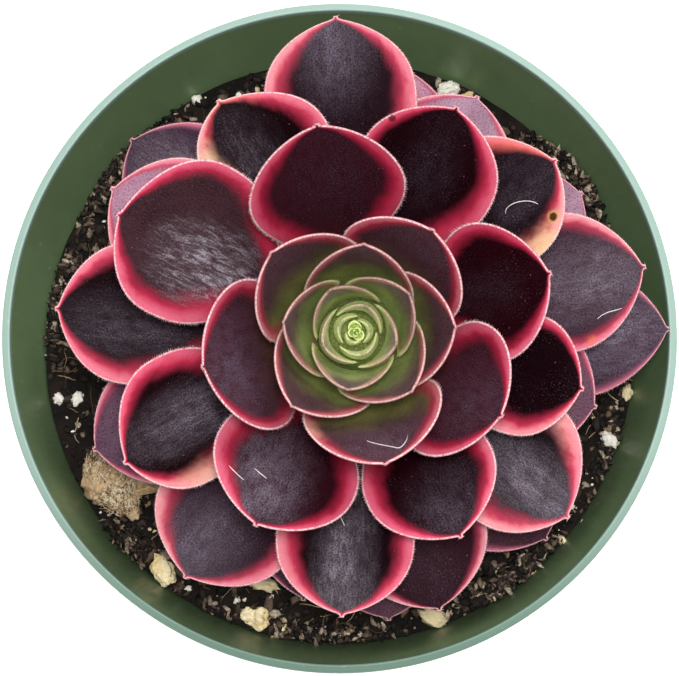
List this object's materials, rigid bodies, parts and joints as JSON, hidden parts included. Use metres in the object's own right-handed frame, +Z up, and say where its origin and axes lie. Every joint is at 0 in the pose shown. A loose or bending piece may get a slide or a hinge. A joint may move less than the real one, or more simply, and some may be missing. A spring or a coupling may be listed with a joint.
{
  "type": "potted aeonium",
  "caption": "Potted succulent: a spiral rosette of dark maroon leaves with pink margins and a green heart, on a short stem in soil, in a round green plastic pot.",
  "frame": {"origin": "centre of the pot's underside", "axes": "+Z up along the pot's axis; -Y is the front, the side that the rosette leans towards; the pot stands on -Z"},
  "size_m": [0.114, 0.114, 0.1321],
  "materials": {
    "leaf_heart": "satin",
    "leaf_inner": "satin",
    "leaf_outer": "satin",
    "leaf_old": "matte",
    "stem_bark": "matte",
    "potting_soil": "matte",
    "dry_peat": "matte",
    "pumice": "matte",
    "perlite": "matte",
    "pot_plastic": "satin"
  },
  "bodies": {
    "root": {"leaf_01": "leaf_heart", "leaf_02": "leaf_heart", "leaf_03": "leaf_heart", "leaf_04": "leaf_heart", "leaf_05": "leaf_heart", "leaf_06": "leaf_heart", "leaf_07": "leaf_heart", "leaf_08": "leaf_inner", "leaf_09": "leaf_inner", "leaf_10": "leaf_inner", "leaf_11": "leaf_inner", "leaf_12": "leaf_inner", "leaf_13": "leaf_inner", "leaf_14": "leaf_inner", "leaf_15": "leaf_inner", "leaf_16": "leaf_inner", "leaf_17": "leaf_inner", "leaf_18": "leaf_inner", "leaf_19": "leaf_outer", "leaf_20": "leaf_outer", "leaf_21": "leaf_outer", "leaf_22": "leaf_outer", "leaf_23": "leaf_outer", "leaf_24": "leaf_outer", "leaf_25": "leaf_outer", "leaf_26": "leaf_outer", "leaf_27": "leaf_outer", "leaf_28": "leaf_outer", "leaf_29": "leaf_outer", "leaf_30": "leaf_outer", "leaf_31": "leaf_outer", "leaf_32": "leaf_outer", "leaf_33": "leaf_outer", "leaf_34": "leaf_outer", "leaf_35": "leaf_outer", "leaf_36": "leaf_outer", "leaf_37": "leaf_old", "leaf_38": "leaf_old", "leaf_39": "leaf_old", "leaf_40": "leaf_old", "leaf_41": "leaf_old", "leaf_42": "leaf_old", "leaf_43": "leaf_old", "leaf_44": "leaf_old", "leaf_45": "leaf_old", "leaf_46": "leaf_old", "leaf_47": "leaf_old", "leaf_48": "leaf_old", "leaf_49": "leaf_old", "leaf_50": "leaf_old", "leaf_51": "leaf_old", "heart_bud": "leaf_heart", "stem": "stem_bark", "soil": "potting_soil", "pot": "pot_plastic", "peat_clump": "dry_peat", "pumice_1": "pumice", "pumice_2": "pumice", "perlite_lump": "perlite"}
  },
  "joints": []
}
